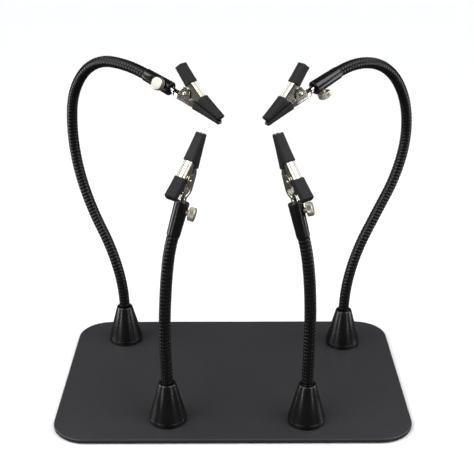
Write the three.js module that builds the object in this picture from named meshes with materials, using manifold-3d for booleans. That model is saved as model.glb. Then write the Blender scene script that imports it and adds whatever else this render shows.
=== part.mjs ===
// A helping hands clamp: a heavy steel base plate with two long and two short bendable arms.
// Each arm is a magnet in a cone, a gooseneck, a clip holder with a thumb screw, and an alligator clip
// in rubber boots. Millimetres, +Z up, +X to the right, -Y to the front; the origin is on the table
// under the centre of the plate.
import * as THREE from "three";
import { mergeVertices } from "three/addons/utils/BufferGeometryUtils.js";
import Module from "manifold-3d";

const wasm = await Module();
wasm.setup();

const rad = THREE.MathUtils.degToRad;

// ---- driving dimensions ----

const GAP = 0.3; // left between separate pieces that touch or turn in the real object
const OVERLAP = 1; // how far a cut runs past the skin it opens, or one solid into the one it joins

const PLATE = { width: 250, depth: 170, thickness: 3, corner: 24, edge: 0.5 };
const PAD = { inset: 5, thickness: 1 };
const PLATE_TOP = PAD.thickness + PLATE.thickness;

const CONE = { radius: 13.1, band: 3.5, step: 0.35, topRadius: 6, height: 30, chamfer: 0.6 };
const LIFT = 0.1; // the painted plate's top to the underside of a cone
const MAGNET = { radius: 11, thickness: 5 };

const NECK = { radius: 4.1, sides: 10, step: 11, inCone: 13, bore: 2.8, boreDepth: 9 };
const HOLDER = { length: 24, neckRadius: 4.5, mouthRadius: 5, edge: 0.5, bore: 2.75, boreDepth: 13 };
const SPIGOT = { radius: 2.5, length: 8 };
const SCREW = { fromMouth: 6.5, radius: 2, hole: 2.3, neck: 1.1, headRadius: 4.6, head: 4.4 };
const KNURL = { flutes: 16, depth: 0.35 };

const SHEET = 0.65; // the clip's sheet metal
const BARREL = { radius: 2.3, wall: 0.7, inHolder: 8, length: 11 };
const PIVOT = { x: 4.2, z: 14 };
const RIVET = { radius: 1.1, head: 1.8, headThickness: 0.6, clearance: 0.2, slack: 0.1 };
const COIL = { inner: 1.65, outer: 2.6, halfLength: 1.7, wire: 0.9 };
const LEG = { length: 7, upperTurn: -42, lowerTurn: 192 }; // the spring's two straight ends
const BOOT = {
  wall: 0.75,
  slack: 0.12,
  overhang: 1.4,
  noseCorner: 1.1,
  thumbCorner: 1.3,
  insideCorner: 0.4,
  cornerSteps: 2,
};

// The upper jaw's flat top, from the nose back to the thumb end: three straight lengths, each steeper.
const TOP_LINE = { x: 1.5, z: 44, lengths: [18.1, 12.3, 13.4], slopes: [20.3, 28.6, 33.1] };
// Along the clip from the nose to the thumb end: the half width and the depth of the upper jaw's channel.
const UPPER = { halfWidths: [2.2, 2.9, 2.95, 3.05], depths: [1.5, 4.9, 5, 4.4] };
// The lower jaw's channel: distance along the clip, underside, height of the sides, half width.
const LOWER = [
  { z: 1, x: -2.3, height: 2.6, halfWidth: 2.3 },
  { z: 8, x: -2.4, height: 3.6, halfWidth: 3.9 },
  { z: 19, x: -2.55, height: 5, halfWidth: 3.9 },
  { z: 22.5, x: -2.7, height: 4.1, halfWidth: 3 },
  { z: 44, x: -3.5, height: 1.45, halfWidth: 2.2 },
];
const EAR = 4.6; // radius of the lower jaw's ears about the rivet
const FOOT = { rise: 1, inset: 0.5 }; // where the ears run into the lower jaw's channel
const LOBE = 3.1; // radius of the upper jaw's lobes about the rivet
// The upper jaw's side sheets run from the knee of its top down to the rivet's lobes. "front" is the
// corner below the knee, and "back" the corner behind the rivet.
const FLANGE = { inset: 1, front: { x: -4.6, z: -2 }, back: { x: 4.2, z: -0.8 } };
const JAW_CORNER = { outside: 0.4, inside: 0.1 };
const DEEP = 14; // deeper than either channel, so a cut opens it right through

const SIDES = { cone: 24, magnet: 20, holder: 18, rod: 12, disc: 14, hole: 12, rivet: 12, coil: 14 };
const BALL = { around: 10, rows: 8 };
const PLATE_CURVE = 4; // straight lengths in each rounded corner of the plate

// Each neck is a chain of equal arcs from the cone to the holder, in one upright plane. "heading" turns
// that plane from +X, and a positive bend (degrees) leans the neck towards its heading.
// "roll" turns the clip about the holder, and "screw" sets the side that the thumb screw is on.
const LONG_NECK = 262;
const SHORT_NECK = 108;
const ARMS = [
  {
    name: "rear_left",
    at: [-86.3, 55.5],
    heading: -36,
    length: LONG_NECK,
    bends: [-19, -14.5, 11, 14.5, 15.5, 36, 45.5, 18.5],
    segments: 4,
    roll: 180,
    screw: -110,
  },
  {
    name: "rear_right",
    at: [88, 48.6],
    heading: 217,
    length: LONG_NECK,
    bends: [-19, -16.5, -1, 19, 27, 30.5, 38.5, 31],
    segments: 4,
    roll: 180,
    screw: 12,
  },
  {
    name: "front_left",
    at: [-45.3, -60.1],
    heading: 35,
    length: SHORT_NECK,
    bends: [-2, 2.4, 3.2, 1.8, 3.3, 10.4],
    segments: 3,
    roll: -149,
    screw: -45,
  },
  {
    name: "front_right",
    at: [51.2, -62],
    heading: 145,
    length: SHORT_NECK,
    bends: [-1.8, 1.1, 2.4, 2.6, 4.2, 8.7],
    segments: 3,
    roll: 149,
    screw: -153,
  },
];

// ---- materials ----

function finish(color, roughness, metalness) {
  return new THREE.MeshStandardMaterial({ color, roughness, metalness });
}

const POWDER_COAT = finish(0x303032, 0.55, 0.1);
const PAD_RUBBER = finish(0x1c1c1c, 0.9, 0);
const GLOSS_BLACK = finish(0x0b0b0c, 0.2, 0.3);
const NECK_BLACK = finish(0x0a0a0b, 0.35, 0.4);
const NICKEL = finish(0xd9d5c8, 0.22, 1);
const MAGNET_NICKEL = finish(0xb8b8b8, 0.25, 1);
const BOOT_RUBBER = finish(0x2b2a2c, 0.7, 0);

// ---- solids ----

// A closed three.js geometry as a manifold-3d solid.
function solid(geometry) {
  const bare = geometry.clone();
  bare.deleteAttribute("normal");
  bare.deleteAttribute("uv");
  const merged = mergeVertices(bare, 1e-4);
  const vertProperties = new Float32Array(merged.attributes.position.array);
  const triVerts = new Uint32Array(merged.index.array);
  return new wasm.Manifold(new wasm.Mesh({ numProp: 3, vertProperties, triVerts }));
}

// A manifold-3d solid as a three.js geometry.
function geometryOf(shape) {
  const mesh = shape.getMesh();
  const geometry = new THREE.BufferGeometry();
  geometry.setAttribute("position", new THREE.BufferAttribute(new Float32Array(mesh.vertProperties), 3));
  geometry.setIndex(new THREE.BufferAttribute(new Uint32Array(mesh.triVerts), 1));
  geometry.computeVertexNormals();
  return geometry;
}

// A body of revolution about Z from [radius, height] points that run up its outside.
function lathe(profile, sides) {
  const points = profile.map(([r, z]) => new THREE.Vector2(r, z));
  return new THREE.LatheGeometry(points, sides).rotateX(Math.PI / 2);
}

// A cylinder along Z between two heights.
function rod(radius, low, high, sides = SIDES.rod) {
  return lathe([[0, low], [radius, low], [radius, high], [0, high]], sides);
}

// A flat outline of [x, z] points (the clip's side view), as thick as two half widths along Y.
function sidePlate(outline, halfWidth) {
  const shape = new THREE.Shape(outline.map(([x, z]) => new THREE.Vector2(x, z)));
  const plate = new THREE.ExtrudeGeometry(shape, { depth: 2 * halfWidth, bevelEnabled: false });
  return plate.translate(0, 0, -halfWidth).rotateX(Math.PI / 2);
}

// The outline of a disc in the clip's side view.
function disc(centre, radius, sides = SIDES.disc) {
  return Array.from({ length: sides }, (_, i) => {
    const turn = (2 * Math.PI * i) / sides;
    return [centre.x + radius * Math.cos(turn), centre.z + radius * Math.sin(turn)];
  });
}

// A rounded rectangle standing on a station of the clip: its top middle is at (x, z), it is "depth" deep
// down from there, square to a line that falls by "slope" degrees towards the nose.
function ring({ x, z, slope = 0, depth, halfWidth }, corner, steps) {
  const down = { x: -Math.cos(rad(slope)), z: -Math.sin(rad(slope)) };
  const r = Math.min(corner, 0.45 * depth, 0.9 * halfWidth);
  const points = [];
  for (let quarter = 0; quarter < 4; quarter++) {
    const side = quarter === 0 || quarter === 3 ? 1 : -1;
    const level = quarter < 2 ? r : depth - r;
    for (let i = 0; i <= steps; i++) {
      const turn = (Math.PI / 2) * (quarter + i / steps);
      const along = level - r * Math.sin(turn);
      const across = side * (halfWidth - r) + r * Math.cos(turn);
      points.push([x + down.x * along, across, z + down.z * along]);
    }
  }
  return points;
}

// A closed skin through the rings of a list of stations, which run from the nose end backwards.
function loft(stations, corner, steps = 1) {
  const rings = stations.map((station) => ring(station, corner, steps));
  const count = rings[0].length;
  const index = [];
  for (let k = 0; k + 1 < rings.length; k++) {
    for (let i = 0; i < count; i++) {
      const j = (i + 1) % count;
      const [a, b, c, d] = [k * count + i, k * count + j, (k + 1) * count + j, (k + 1) * count + i];
      index.push(a, b, c, a, c, d);
    }
  }
  const last = (rings.length - 1) * count;
  for (let i = 1; i + 1 < count; i++) {
    index.push(0, i + 1, i);
    index.push(last, last + i, last + i + 1);
  }
  const geometry = new THREE.BufferGeometry();
  geometry.setAttribute("position", new THREE.Float32BufferAttribute(rings.flat(2), 3));
  geometry.setIndex(index);
  return geometry;
}

// ---- base plate ----

function roundedPlate(width, depth, corner, thickness, edge) {
  const [w, d] = [width / 2 - edge, depth / 2 - edge];
  const r = corner - edge;
  const shape = new THREE.Shape();
  shape.absarc(w - r, d - r, r, 0, Math.PI / 2);
  shape.absarc(r - w, d - r, r, Math.PI / 2, Math.PI);
  shape.absarc(r - w, r - d, r, Math.PI, 1.5 * Math.PI);
  shape.absarc(w - r, r - d, r, 1.5 * Math.PI, 2 * Math.PI);
  const bevel = { bevelEnabled: edge > 0, bevelSize: edge, bevelThickness: edge, bevelSegments: 1 };
  const settings = { depth: thickness - 2 * edge, curveSegments: PLATE_CURVE, ...bevel };
  return new THREE.ExtrudeGeometry(shape, settings).translate(0, 0, edge);
}

function basePlate() {
  return roundedPlate(PLATE.width, PLATE.depth, PLATE.corner, PLATE.thickness, PLATE.edge);
}

function antiSlipPad() {
  const width = PLATE.width - 2 * PAD.inset;
  const depth = PLATE.depth - 2 * PAD.inset;
  return roundedPlate(width, depth, PLATE.corner - PAD.inset, PAD.thickness, 0);
}

// ---- cone base ----

// Height zero is the plate's top. The magnet's pocket is open below, the neck's bore above.
function cone() {
  const pocket = MAGNET.radius + GAP;
  const ceiling = LIFT + MAGNET.thickness + GAP;
  const shoulder = CONE.radius - CONE.step;
  const bore = NECK.radius + GAP;
  return lathe(
    [
      [0, ceiling],
      [pocket, ceiling],
      [pocket, LIFT],
      [CONE.radius - CONE.step, LIFT],
      [CONE.radius, LIFT + CONE.step],
      [CONE.radius, CONE.band],
      [shoulder, CONE.band + CONE.step],
      [CONE.topRadius, CONE.height - CONE.chamfer],
      [CONE.topRadius - CONE.chamfer, CONE.height],
      [bore, CONE.height],
      [bore, CONE.height - NECK.inCone - GAP],
      [0, CONE.height - NECK.inCone - GAP],
    ],
    SIDES.cone,
  );
}

function magnet() {
  return rod(MAGNET.radius, LIFT, LIFT + MAGNET.thickness, SIDES.magnet);
}

// ---- gooseneck ----

// Where the neck is at a distance from the cone's top, in the arm's plane: x out along its heading, z up
// from the cone's top, and its lean in radians. It is straight down inside the cone.
function neckAt(arm, distance) {
  const arc = arm.length / arm.bends.length;
  let [x, z, lean] = [0, Math.min(distance, 0), 0];
  let left = Math.max(distance, 0);
  for (const bend of arm.bends) {
    const part = Math.min(left, arc);
    const turn = (rad(bend) * part) / arc;
    const chord = turn === 0 ? part : (part * Math.sin(turn / 2)) / (turn / 2);
    x += chord * Math.sin(lean + turn / 2);
    z += chord * Math.cos(lean + turn / 2);
    lean += turn;
    left -= part;
  }
  return { x, z, lean };
}

class NeckLine extends THREE.Curve {
  constructor(arm, from, to) {
    super();
    Object.assign(this, { arm, from, to });
  }
  getPoint(t, target = new THREE.Vector3()) {
    const { x, z } = neckAt(this.arm, this.from + t * (this.to - this.from));
    return target.set(x, 0, z);
  }
}

function neckTube(arm, from, to) {
  const section = new THREE.Shape();
  for (let i = 0; i < NECK.sides; i++) {
    const turn = (2 * Math.PI * i) / NECK.sides;
    const point = [NECK.radius * Math.cos(turn), NECK.radius * Math.sin(turn)];
    if (i) section.lineTo(...point);
    else section.moveTo(...point);
  }
  const steps = Math.ceil((to - from) / NECK.step);
  return new THREE.ExtrudeGeometry(section, { steps, extrudePath: new NeckLine(arm, from, to) });
}

function ballAt(arm, distance, radius) {
  const { x, z } = neckAt(arm, distance);
  return new THREE.SphereGeometry(radius, BALL.around, BALL.rows).translate(x, 0, z);
}

// One rigid stretch of the neck. Where the neck bends, a stretch ends in a ball, and the next one starts
// with the socket that turns on it; the last one ends in the bore for the holder's spigot.
function neckSegment(arm, number) {
  const stretch = arm.length / arm.segments;
  const first = number === 0;
  const final = number === arm.segments - 1;
  const from = first ? -NECK.inCone : number * stretch;
  const to = (number + 1) * stretch;
  let shape = solid(neckTube(arm, from, to));
  if (!first) shape = shape.subtract(solid(ballAt(arm, from, NECK.radius + GAP)));
  if (!final) return geometryOf(shape.add(solid(ballAt(arm, to, NECK.radius))));
  const { x, z, lean } = neckAt(arm, to);
  const bore = rod(NECK.bore, -NECK.boreDepth, OVERLAP).rotateY(lean).translate(x, 0, z);
  return geometryOf(shape.subtract(solid(bore)));
}

// ---- clip holder and thumb screw ----

// Height zero is the neck's end; the mouth is at HOLDER.length.
function clipHolder(arm) {
  const { length, neckRadius, mouthRadius, edge, bore, boreDepth } = HOLDER;
  const body = lathe(
    [
      [0, -SPIGOT.length],
      [SPIGOT.radius, -SPIGOT.length],
      [SPIGOT.radius, GAP],
      [neckRadius - edge, GAP],
      [neckRadius, GAP + edge],
      [mouthRadius, length - 2 * edge],
      [mouthRadius - edge, length],
      [bore, length],
      [bore, length - boreDepth],
      [0, length - boreDepth],
    ],
    SIDES.holder,
  );
  const hole = rod(SCREW.hole, 0, 2 * mouthRadius);
  return geometryOf(solid(body).subtract(solid(placeScrew(hole, arm))));
}

// From the screw's own frame (+Z out of the holder's wall, zero on the holder's axis) to the holder's.
function placeScrew(geometry, arm) {
  return geometry
    .rotateY(Math.PI / 2)
    .rotateZ(rad(arm.screw))
    .translate(0, 0, HOLDER.length - SCREW.fromMouth);
}

function thumbScrew(arm) {
  const seat = HOLDER.mouthRadius + SCREW.neck;
  const shank = rod(SCREW.radius, BARREL.radius + GAP, seat + OVERLAP);
  const outline = Array.from({ length: 2 * KNURL.flutes }, (_, i) => {
    const r = SCREW.headRadius - (i % 2 ? KNURL.depth : 0);
    const turn = (Math.PI * i) / KNURL.flutes;
    return new THREE.Vector2(r * Math.cos(turn), r * Math.sin(turn));
  });
  const settings = { depth: SCREW.head, bevelEnabled: false };
  const head = new THREE.ExtrudeGeometry(new THREE.Shape(outline), settings).translate(0, 0, seat);
  const screw = solid(shank).add(solid(head));
  return placeScrew(geometryOf(screw), arm);
}

// ---- alligator clip ----
// In the clip's frame +Z runs from the holder's mouth to the nose, +X is the upper jaw's side, and the
// rivet lies along Y.

// The upper jaw's stations from the nose back: top middle of the channel, its slope, depth and half width.
function upperStations() {
  const stations = [];
  let { x, z } = TOP_LINE;
  for (let i = 0; i <= TOP_LINE.lengths.length; i++) {
    const before = TOP_LINE.slopes[Math.max(i - 1, 0)];
    const after = TOP_LINE.slopes[Math.min(i, TOP_LINE.slopes.length - 1)];
    const section = { depth: UPPER.depths[i], halfWidth: UPPER.halfWidths[i] };
    stations.push({ x, z, slope: (before + after) / 2, ...section });
    x += (TOP_LINE.lengths[i] ?? 0) * Math.sin(rad(after));
    z -= (TOP_LINE.lengths[i] ?? 0) * Math.cos(rad(after));
  }
  return stations;
}

// The same station moved along its own line, and moved in from (or out of) its skin on every side.
function shifted(station, along, outwards) {
  const slope = rad(station.slope ?? 0);
  return {
    ...station,
    x: station.x - along * Math.sin(slope) + outwards * Math.cos(slope),
    z: station.z + along * Math.cos(slope) + outwards * Math.sin(slope),
    depth: station.depth + 2 * outwards,
    halfWidth: station.halfWidth + outwards,
  };
}

// How far along the clip a cut's station is moved, so that the cut leaves through both ends.
function pastEnd(i, count) {
  if (i === 0) return OVERLAP;
  return i === count - 1 ? -OVERLAP : 0;
}

function upperJaw() {
  const stations = upperStations();
  const [, knee, heel] = stations;
  const halfWidth = knee.halfWidth;
  const flange = sidePlate(
    [
      [heel.x - FLANGE.inset, heel.z],
      [knee.x - FLANGE.inset, knee.z],
      [knee.x + FLANGE.front.x, knee.z + FLANGE.front.z],
      [PIVOT.x - LOBE, PIVOT.z + FLANGE.inset],
      [PIVOT.x, PIVOT.z - LOBE],
      [PIVOT.x + FLANGE.back.x, PIVOT.z + FLANGE.back.z],
    ],
    halfWidth,
  );
  const lobe = sidePlate(disc(PIVOT, LOBE), halfWidth);
  const hollow = stations.map((station, i) => {
    return { ...shifted(station, pastEnd(i, stations.length), -SHEET), depth: DEEP };
  });
  const holeRadius = RIVET.radius + RIVET.clearance;
  const hole = sidePlate(disc(PIVOT, holeRadius, SIDES.hole), 2 * halfWidth);
  const sheet = solid(loft(stations, JAW_CORNER.outside)).add(solid(flange)).add(solid(lobe));
  const channel = sheet.subtract(solid(loft(hollow, JAW_CORNER.inside)));
  return geometryOf(channel.subtract(solid(hole)));
}

// The lower jaw's stations from the nose back, given by their top as the loft needs them.
function lowerStations() {
  const station = ({ z, x, height, halfWidth }) => ({ x: x + height, z, depth: height, halfWidth });
  return LOWER.map(station).reverse();
}

function lowerJaw() {
  const stations = lowerStations();
  const widest = LOWER[1].halfWidth;
  const ear = sidePlate(disc(PIVOT, EAR), widest);
  const foot = sidePlate(
    [
      [PIVOT.x, PIVOT.z - EAR],
      [PIVOT.x, PIVOT.z + EAR],
      [LOWER[2].x + FOOT.rise, LOWER[2].z - FOOT.inset],
      [LOWER[1].x + FOOT.rise, LOWER[1].z + FOOT.inset],
    ],
    widest,
  );
  const hollow = stations.map((station, i) => ({
    ...station,
    x: station.x - station.depth + SHEET + DEEP,
    z: station.z + pastEnd(i, stations.length),
    depth: DEEP,
    halfWidth: station.halfWidth - SHEET,
  }));
  const barrel = rod(BARREL.radius, -BARREL.inHolder, BARREL.length - BARREL.inHolder);
  const bore = rod(BARREL.radius - BARREL.wall, -BARREL.inHolder - OVERLAP, BARREL.length);
  const hole = sidePlate(disc(PIVOT, RIVET.radius, SIDES.hole), 2 * widest);
  const sheet = solid(loft(stations, JAW_CORNER.outside)).add(solid(ear)).add(solid(foot));
  const channel = sheet.subtract(solid(loft(hollow, JAW_CORNER.inside)));
  return geometryOf(channel.add(solid(barrel)).subtract(solid(bore)).subtract(solid(hole)));
}

// The rivet's shank sits in the lower jaw's ears, and its two heads are outside them.
function rivet() {
  const inside = LOWER[1].halfWidth + RIVET.slack;
  const outside = inside + RIVET.headThickness;
  const shank = RIVET.radius - RIVET.slack / 2;
  const profile = [
    [0, -outside],
    [RIVET.head, -outside],
    [RIVET.head, -inside],
    [shank, -inside],
    [shank, inside],
    [RIVET.head, inside],
    [RIVET.head, outside],
    [0, outside],
  ];
  return lathe(profile, SIDES.rivet).rotateX(Math.PI / 2).translate(PIVOT.x, 0, PIVOT.z);
}

// The torsion spring's coil round the rivet, with one leg on each jaw.
function spring() {
  const { inner, outer, halfLength, wire } = COIL;
  const corner = [inner, -halfLength];
  const section = [corner, [outer, -halfLength], [outer, halfLength], [inner, halfLength], corner];
  const coil = lathe(section, SIDES.coil).rotateX(Math.PI / 2);
  const leg = (side, turn) =>
    new THREE.BoxGeometry(wire, wire, LEG.length)
      .translate(side * (outer - wire / 2), side * (halfLength - wire / 2), LEG.length / 2)
      .rotateY(rad(turn));
  const shape = solid(coil).add(solid(leg(1, LEG.upperTurn))).add(solid(leg(-1, LEG.lowerTurn)));
  return geometryOf(shape).translate(PIVOT.x, 0, PIVOT.z);
}

// A rubber sleeve over some stations of a jaw, open at the back and, on a nose, also at the tip.
function sleeve(stations, corner) {
  const outside = stations.map((station) => shifted(station, 0, BOOT.wall + BOOT.slack));
  const inside = stations.map((station) => shifted(station, 0, BOOT.slack));
  return { outside: solid(loft(outside, corner, BOOT.cornerSteps)), inside };
}

// The station a distance past "tip" on the straight taper from "back" to "tip".
function beyond(tip, back, distance) {
  const step = distance / Math.hypot(tip.x - back.x, tip.z - back.z);
  const on = (key) => tip[key] + step * (tip[key] - back[key]);
  return { ...tip, x: on("x"), z: on("z"), depth: on("depth"), halfWidth: on("halfWidth") };
}

// Both nose boots run past the metal's tip and are open there.
function noseBoot(tip, back) {
  const { outside, inside } = sleeve([beyond(tip, back, BOOT.overhang), back], BOOT.noseCorner);
  const [front, rear] = inside;
  const cut = [beyond(front, rear, OVERLAP), beyond(rear, front, OVERLAP)];
  return geometryOf(outside.subtract(solid(loft(cut, BOOT.insideCorner))));
}

function upperNoseBoot() {
  const [tip, knee] = upperStations();
  return noseBoot({ ...tip, slope: TOP_LINE.slopes[0] }, { ...knee, slope: TOP_LINE.slopes[0] });
}

function lowerNoseBoot() {
  const [tip, knee] = lowerStations();
  return noseBoot(tip, knee);
}

// The thumb boot is closed at its far end.
function thumbBoot() {
  const [, , heel, end] = upperStations();
  const slope = TOP_LINE.slopes[2];
  const front = { ...heel, slope, halfWidth: end.halfWidth };
  const back = shifted({ ...end, slope }, -BOOT.overhang, 0);
  const { outside, inside } = sleeve([front, back], BOOT.thumbCorner);
  const [mouth, far] = inside;
  const cut = [shifted(mouth, OVERLAP, 0), shifted(far, BOOT.overhang - BOOT.slack - GAP, 0)];
  return geometryOf(outside.subtract(solid(loft(cut, BOOT.insideCorner))));
}

// ---- assembly ----

function mesh(name, geometry, material) {
  const piece = new THREE.Mesh(geometry, material);
  piece.name = name;
  return piece;
}

function clip(arm) {
  const group = new THREE.Group();
  group.position.z = HOLDER.length + GAP;
  group.rotation.z = rad(arm.roll);
  group.add(
    mesh(`${arm.name}_lower_jaw`, lowerJaw(), NICKEL),
    mesh(`${arm.name}_upper_jaw`, upperJaw(), NICKEL),
    mesh(`${arm.name}_rivet`, rivet(), NICKEL),
    mesh(`${arm.name}_spring`, spring(), NICKEL),
    mesh(`${arm.name}_lower_nose_boot`, lowerNoseBoot(), BOOT_RUBBER),
    mesh(`${arm.name}_upper_nose_boot`, upperNoseBoot(), BOOT_RUBBER),
    mesh(`${arm.name}_thumb_boot`, thumbBoot(), BOOT_RUBBER),
  );
  return group;
}

// The holder stands on the neck's end and carries the thumb screw and the clip.
function hand(arm) {
  const { x, z, lean } = neckAt(arm, arm.length);
  const group = new THREE.Group();
  group.position.set(x, 0, CONE.height + z);
  group.rotation.y = lean;
  group.add(
    mesh(`${arm.name}_clip_holder`, clipHolder(arm), GLOSS_BLACK),
    mesh(`${arm.name}_thumb_screw`, thumbScrew(arm), NICKEL),
    clip(arm),
  );
  return group;
}

function armGroup(arm) {
  const group = new THREE.Group();
  group.position.set(...arm.at, PLATE_TOP);
  group.rotation.z = rad(arm.heading);
  group.add(
    mesh(`${arm.name}_magnet`, magnet(), MAGNET_NICKEL),
    mesh(`${arm.name}_cone`, cone(), GLOSS_BLACK),
  );
  for (let number = 0; number < arm.segments; number++) {
    const segment = mesh(`${arm.name}_neck_${number + 1}`, neckSegment(arm, number), NECK_BLACK);
    segment.position.z = CONE.height;
    group.add(segment);
  }
  group.add(hand(arm));
  return group;
}

const plate = mesh("base_plate", basePlate(), POWDER_COAT);
plate.position.z = PAD.thickness;

const helpingHands = new THREE.Group();
helpingHands.add(plate, mesh("anti_slip_pad", antiSlipPad(), PAD_RUBBER), ...ARMS.map(armGroup));

export default helpingHands;
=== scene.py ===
# The looks of a helping hands clamp: a steel plate with four magnetic gooseneck arms, each ending in an
# alligator clip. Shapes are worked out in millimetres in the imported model's frame and written in metres.
import math

import bpy
import bmesh
from mathutils import Matrix, Vector


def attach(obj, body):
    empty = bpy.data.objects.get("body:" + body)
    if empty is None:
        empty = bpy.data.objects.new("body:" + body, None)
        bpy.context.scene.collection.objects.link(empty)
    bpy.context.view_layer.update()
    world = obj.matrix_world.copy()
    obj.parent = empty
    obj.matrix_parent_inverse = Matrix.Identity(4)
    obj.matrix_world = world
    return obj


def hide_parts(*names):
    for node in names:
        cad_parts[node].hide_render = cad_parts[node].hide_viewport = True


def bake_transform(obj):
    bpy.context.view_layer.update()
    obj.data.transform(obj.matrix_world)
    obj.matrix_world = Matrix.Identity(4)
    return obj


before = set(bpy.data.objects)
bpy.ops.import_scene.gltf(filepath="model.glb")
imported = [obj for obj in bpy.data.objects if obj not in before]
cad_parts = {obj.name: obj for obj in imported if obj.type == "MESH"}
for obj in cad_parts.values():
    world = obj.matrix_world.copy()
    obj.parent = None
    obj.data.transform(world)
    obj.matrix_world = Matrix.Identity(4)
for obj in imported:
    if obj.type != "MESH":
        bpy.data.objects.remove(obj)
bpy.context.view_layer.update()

MM = 0.001

# ---- driving dimensions, as in the solids ----

PLATE_WIDTH, PLATE_DEPTH, PLATE_CORNER = 250, 170, 24
PAD_THICKNESS, PLATE_THICKNESS, PAD_INSET = 1, 3, 5
PLATE_TOP = PAD_THICKNESS + PLATE_THICKNESS
CONE_RADIUS, CONE_BAND, CONE_TOP_RADIUS, CONE_HEIGHT = 13.1, 3.5, 6, 30
CONE_LINE = 0.3  # depth of the turned line above the cone's straight band
LIFT = 0.1  # the feet stand this much clear of the plate
MAGNET_RADIUS, MAGNET_THICKNESS = 11, 5
MAGNET_CUP, RESIN_RING, MAGNET_HOLE = 1.6, 0.6, 2  # wall, width and radius
NECK_RADIUS, NECK_IN_CONE = 4.1, 13
HOLDER_LENGTH, HOLDER_NECK_RADIUS, HOLDER_MOUTH_RADIUS = 24, 4.5, 5
HOLDER_BORE, HOLDER_BORE_DEPTH = 2.75, 13
SPIGOT_RADIUS, SPIGOT_LENGTH = 2.5, 8
SCREW_FROM_MOUTH, SCREW_RADIUS, SCREW_NECK = 6.5, 2, 1.1
SCREW_HEAD_RADIUS, SCREW_HEAD, SCREW_EDGE = 4.6, 4.4, 0.5
SCREW_SEAT = HOLDER_MOUTH_RADIUS + SCREW_NECK
SCREW_TOP = SCREW_SEAT + SCREW_HEAD
SCREW_HOLE_RADIUS = 2.25
GAP = 0.3  # between pieces that touch or turn in the real object

SHEET = 0.65  # the clip's sheet metal
BARREL_RADIUS, BARREL_IN_HOLDER = 2.3, 8
PIVOT_X, PIVOT_Z = 4.2, 14
EAR_RADIUS, LOBE_RADIUS = 4.6, 3.1
PRESSED_LINE = 0.16  # depth of the two lines along the upper jaw's flat
RIVET_HEAD_RADIUS, RIVET_DOME, RIVET_RADIUS = 1.8, 0.62, 1.05
COIL_RADIUS, COIL_HALF_LENGTH, SPRING_WIRE = 2.15, 1.5, 0.8
COIL_START, COIL_TURNS, SPRING_LEG = 100, 3.13, 6  # degrees, turns, millimetres
BOOT_WALL, BOOT_SLACK, BOOT_OVERHANG = 0.75, 0.12, 1.4
BOOT_OUTER = BOOT_WALL + BOOT_SLACK
BOOT_CORNER, BOOT_LIP = 0.95, 0.35  # corner radius, and length of the eased rim

# The upper jaw's flat top from the nose back to the thumb end.
TOP_START = (1.5, 44)
TOP_LENGTHS = (18.1, 12.3, 13.4)
TOP_SLOPES = (20.3, 28.6, 33.1)
UPPER_HALF_WIDTHS = (2.2, 2.9, 2.95, 3.05)
UPPER_DEPTHS = (1.5, 4.9, 5, 4.4)
# The lower jaw: distance along the clip, underside, height of the sides, half width.
LOWER = (
    (1, -2.3, 2.6, 2.3),
    (8, -2.4, 3.6, 3.9),
    (19, -2.55, 5, 3.9),
    (22.5, -2.7, 4.1, 3),
    (44, -3.5, 1.45, 2.2),
)
# The lower jaw's nose runs on to the boot's mouth, and is rounded off over its last stretch.
TONGUE, TONGUE_ROUND, TONGUE_TAPER = 1.1, 1.8, 0.4
# How far the top of the lower boot's mouth leans back, and how much it is rounded as seen from above.
MOUTH_SLANT, MOUTH_CURVE = 1.5, 0.4

UV_LENGTH = 40  # millimetres along a turned outline for one unit of v
BOOT_UV_ROWS = 20  # rings of a boot for one unit of v

# Winding of the gooseneck: a round wire with a lower wire laid between its turns.
NECK_PITCH, WIRE_HALF_WIDTH, WIRE_GROOVE = 2.65, 1.22, 0.36
NECK_SIDES, NECK_ROWS_PER_TURN = 28, 9
BEND_REACH = 0.42  # share of a stretch on each side of a hinge that the reach round the hinge spans

# The knurled screw: ridges round the head and their depth, then the thread's pitch and depth.
KNURL_RIDGES, KNURL_DEPTH = 36, 0.26
THREAD_PITCH, THREAD_DEPTH = 0.7, 0.3

# ---- studio ----

CAMERA_PLACE = (0, -0.6295, 0.3846)
CAMERA_TILT, CAMERA_TURN, CAMERA_LENS = 23.03, -0.286, 72.9

# What the camera sees of the floor and walls is white. Every other ray meets dark surroundings.
WALL_LIGHT = 0.1
FLOOR_PAPER = (0.93, 0.935, 0.945)
FLOOR_BOUNCE = (0.1, 0.1, 0.1)
FLOOR_HALF = 8

# Name, azimuth and elevation in degrees (azimuth 0 is in front, positive to the right), strength.
DOME_SPREAD = 44
DOMES = (
    ("key_dome", -54, 45, 2.3),
    ("fill_dome", 58, 47, 1.9),
)
# Name, place and target in metres, width, height and power.
SOFTBOXES = (
    ("left_softbox", (-0.6, 0.03, 0.16), (0, -0.03, 0.1), 0.22, 0.32, 1.4),
    ("right_softbox", (0.6, 0.03, 0.16), (0, -0.03, 0.1), 0.2, 0.32, 1.0),
    ("front_left_strip", (-0.72, -0.69, 0.12), (0, -0.03, 0.08), 0.08, 0.3, 0.8),
    ("front_right_strip", (0.72, -0.69, 0.12), (0, -0.03, 0.08), 0.08, 0.3, 0.5),
    ("back_left_softbox", (-0.3, 0.22, 0.53), (0.05, 0.02, 0.22), 0.22, 0.22, 0.2),
    ("back_right_softbox", (0.3, 0.22, 0.53), (-0.05, 0.02, 0.22), 0.22, 0.22, 0.2),
)

# ---- arms ----

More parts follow.
